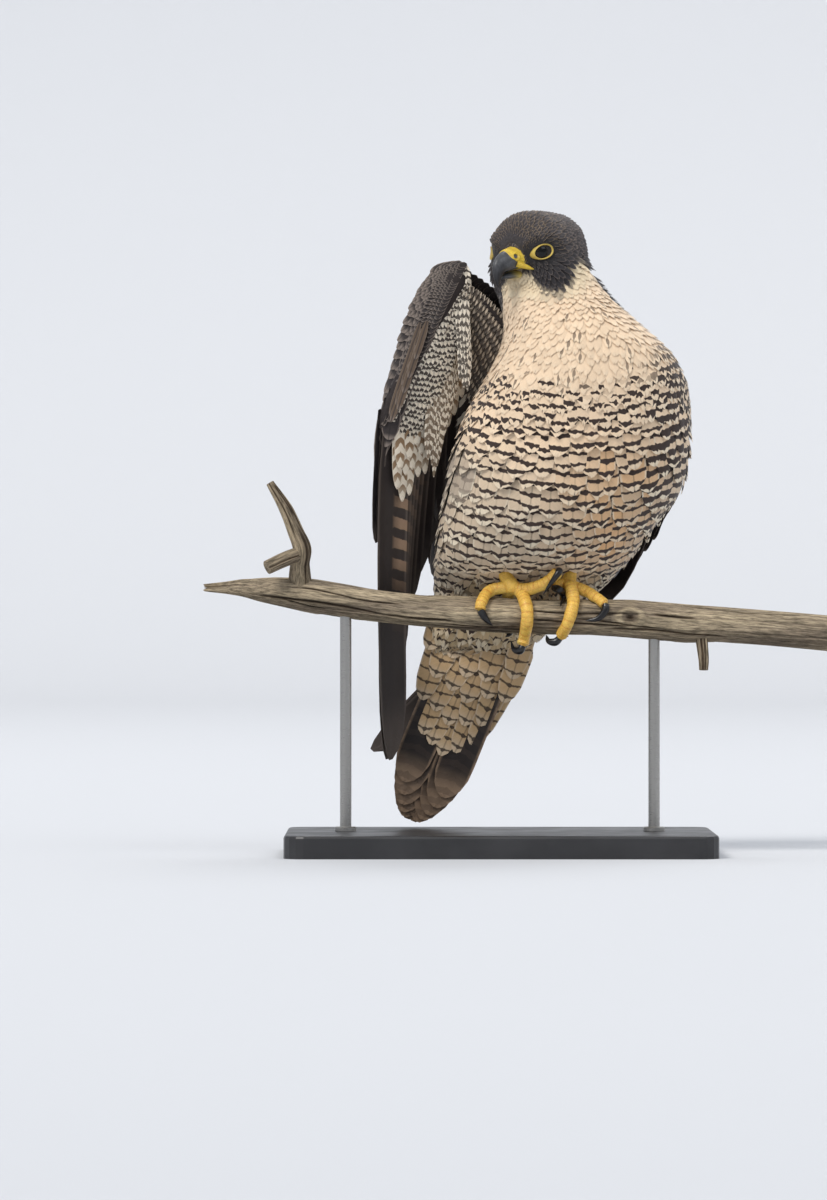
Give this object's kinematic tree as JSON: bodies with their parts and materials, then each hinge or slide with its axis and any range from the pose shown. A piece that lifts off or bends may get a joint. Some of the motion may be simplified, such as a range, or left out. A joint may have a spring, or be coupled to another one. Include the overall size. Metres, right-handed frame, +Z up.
{
  "type": "peregrine falcon",
  "caption": "Life-size still model of an adult peregrine falcon gripping a cut length of dead branch, one wing lifted, on a flat base with rods.",
  "frame": {"origin": "middle of the underside of the display base", "axes": "+Z up, the bird faces -Y and its left side is at +X"},
  "size_m": [0.437, 0.1954, 0.4505],
  "materials": {
    "dark_plumage": "matte overlapping feathers, slate brown with pale edges",
    "pale_plumage": "matte overlapping feathers, buff with dark bars",
    "eye": "wet, very dark brown",
    "bill_horn": "semi-gloss horn, slate blue to black at the tip",
    "yellow_skin": "bare scaled skin, satin yellow",
    "claw_horn": "glossy black horn",
    "dead_wood": "weathered, cracked, bark gone",
    "stand_paint": "satin dark grey paint",
    "stand_steel": "brushed round rod"
  },
  "bodies": {
    "root": {"head": "dark_plumage", "neck": "pale_plumage", "torso": "pale_plumage", "tail": "dark_plumage", "right_wing_hand": "dark_plumage", "right_wing_arm": "dark_plumage", "left_wing": "dark_plumage", "eye_left": "eye", "eye_right": "eye", "bill_upper": "bill_horn", "bill_lower": "bill_horn", "cere": "yellow_skin", "right_leg": "yellow_skin", "left_leg": "yellow_skin", "right_claw_outer": "claw_horn", "right_claw_middle": "claw_horn", "right_claw_inner": "claw_horn", "right_claw_hallux": "claw_horn", "left_claw_outer": "claw_horn", "left_claw_middle": "claw_horn", "left_claw_inner": "claw_horn", "left_claw_hallux": "claw_horn", "perch_branch": "dead_wood", "perch_twig": "dead_wood", "perch_stub": "dead_wood", "stand_base": "stand_paint", "stand_rod_right": "stand_steel", "stand_rod_left": "stand_steel"}
  },
  "joints": []
}
